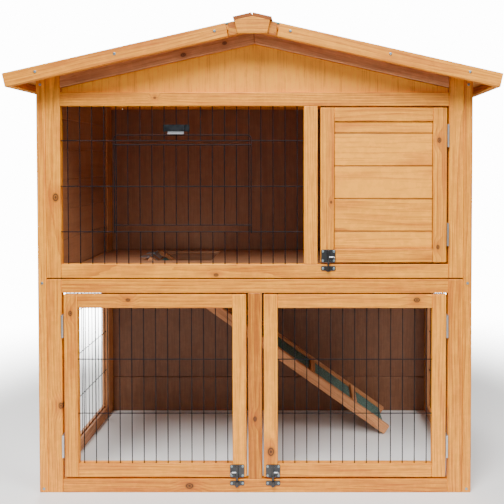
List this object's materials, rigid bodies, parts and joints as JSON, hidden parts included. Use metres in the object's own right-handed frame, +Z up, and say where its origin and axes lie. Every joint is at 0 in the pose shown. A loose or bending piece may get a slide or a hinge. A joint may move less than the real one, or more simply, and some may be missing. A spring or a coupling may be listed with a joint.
{
  "type": "rabbit hutch",
  "caption": "Two-level wooden rabbit hutch: a boarded cabin with a wire feed flap over a mesh-sided run, with hinged doors, tower-bolt latches, a gabled felt roof and a hinged felted ramp.",
  "frame": {"origin": "on the ground, at the middle of the roof's footprint", "axes": "+X to the right seen from the front, -Y out of the front, +Z up"},
  "size_m": [1, 0.55, 0.9862],
  "materials": {
    "timber": "stained and oiled fir, satin",
    "boards": "stained fir boards, satin",
    "plywood": "stained plywood with upright grain",
    "green_felt": "mineral-coated bitumen felt, matt",
    "zinc": "zinc-plated pressed steel",
    "black_wire": "black coated welded wire",
    "black_steel": "dark painted pressed steel"
  },
  "bodies": {
    "hutch": {"corner_strips": "timber", "left_run_side_frame": "timber", "right_run_side_frame": "timber", "left_run_side_mesh": "black_wire", "right_run_side_mesh": "black_wire", "cabin_side_frames": "timber", "left_cabin_boards": "boards", "right_cabin_boards": "boards", "run_back_frame": "timber", "run_back_wall": "plywood", "cabin_back_frame": "timber", "cabin_back_wall": "plywood", "run_front_stiles": "timber", "run_head_rail": "timber", "run_bottom_rail": "timber", "run_mullion": "timber", "cabin_front_stiles": "timber", "cabin_top_rail": "timber", "cabin_sill_rail": "timber", "cabin_mullion": "timber", "gable_rafters": "timber", "gable_panels": "plywood", "cabin_floor": "plywood", "floor_joists": "timber", "cabin_mesh": "black_wire", "roof_panels": "boards", "roof_felt": "green_felt", "barge_boards": "timber", "eave_battens": "timber", "ridge_boards": "timber", "ridge_blocks": "timber", "ridge_gussets": "timber", "frame_screws": "zinc", "latch_keepers": "zinc", "frame_hinge_leaves": "zinc", "hinge_pins": "zinc", "clip_bracket": "black_steel", "ramp_hinge_plates": "zinc"},
    "cabin_door": {"cabin_door_frame": "timber", "cabin_door_boards": "boards", "cabin_door_hinge_leaves": "zinc", "cabin_door_latch": "zinc"},
    "cabin_bolt": {"cabin_door_bolt": "zinc"},
    "left_run_door": {"left_run_door_frame": "timber", "left_run_door_mesh": "black_wire", "left_run_door_hinge_leaves": "zinc", "left_run_door_latch": "zinc"},
    "left_run_bolt": {"left_run_door_bolt": "zinc"},
    "right_run_door": {"right_run_door_frame": "timber", "right_run_door_mesh": "black_wire", "right_run_door_hinge_leaves": "zinc", "right_run_door_latch": "zinc"},
    "right_run_bolt": {"right_run_door_bolt": "zinc"},
    "flap": {"wire_flap": "black_wire"},
    "clip": {"clip_slider": "zinc"},
    "ramp": {"ramp_rails": "timber", "ramp_deck": "plywood", "ramp_felt": "green_felt", "ramp_hinge_leaves": "zinc"}
  },
  "joints": [
    {"name": "cabin_door_hinge", "type": "hinge", "parent": "hutch", "child": "cabin_door", "pos_m": [0.399, -0.2276, 0.642], "axis": [0, 0, 1], "range_deg": [0, 170]},
    {"name": "left_run_door_hinge", "type": "hinge", "parent": "hutch", "child": "left_run_door", "pos_m": [-0.399, -0.2276, 0.224], "axis": [0, 0, -1], "range_deg": [0, 170]},
    {"name": "right_run_door_hinge", "type": "hinge", "parent": "hutch", "child": "right_run_door", "pos_m": [0.399, -0.2276, 0.224], "axis": [0, 0, 1], "range_deg": [0, 170]},
    {"name": "cabin_bolt_slide", "type": "slide", "parent": "cabin_door", "child": "cabin_bolt", "axis": [0, 0, 1], "range_m": [-0.005, 0.006]},
    {"name": "left_run_bolt_slide", "type": "slide", "parent": "left_run_door", "child": "left_run_bolt", "axis": [0, 0, 1], "range_m": [-0.005, 0.006]},
    {"name": "right_run_bolt_slide", "type": "slide", "parent": "right_run_door", "child": "right_run_bolt", "axis": [0, 0, 1], "range_m": [-0.005, 0.006]},
    {"name": "flap_pivot", "type": "hinge", "parent": "hutch", "child": "flap", "pos_m": [-0.14975, -0.2202, 0.5452], "axis": [1, 0, 0], "range_deg": [0, 155]},
    {"name": "clip_slide", "type": "slide", "parent": "hutch", "child": "clip", "axis": [0, 0, 1], "range_m": [-0.0074, 0.002]},
    {"name": "ramp_hinge", "type": "hinge", "parent": "hutch", "child": "ramp", "pos_m": [-0.2964, 0.1365, 0.4482], "axis": [0, -1, 0], "range_deg": [0, 20]}
  ]
}
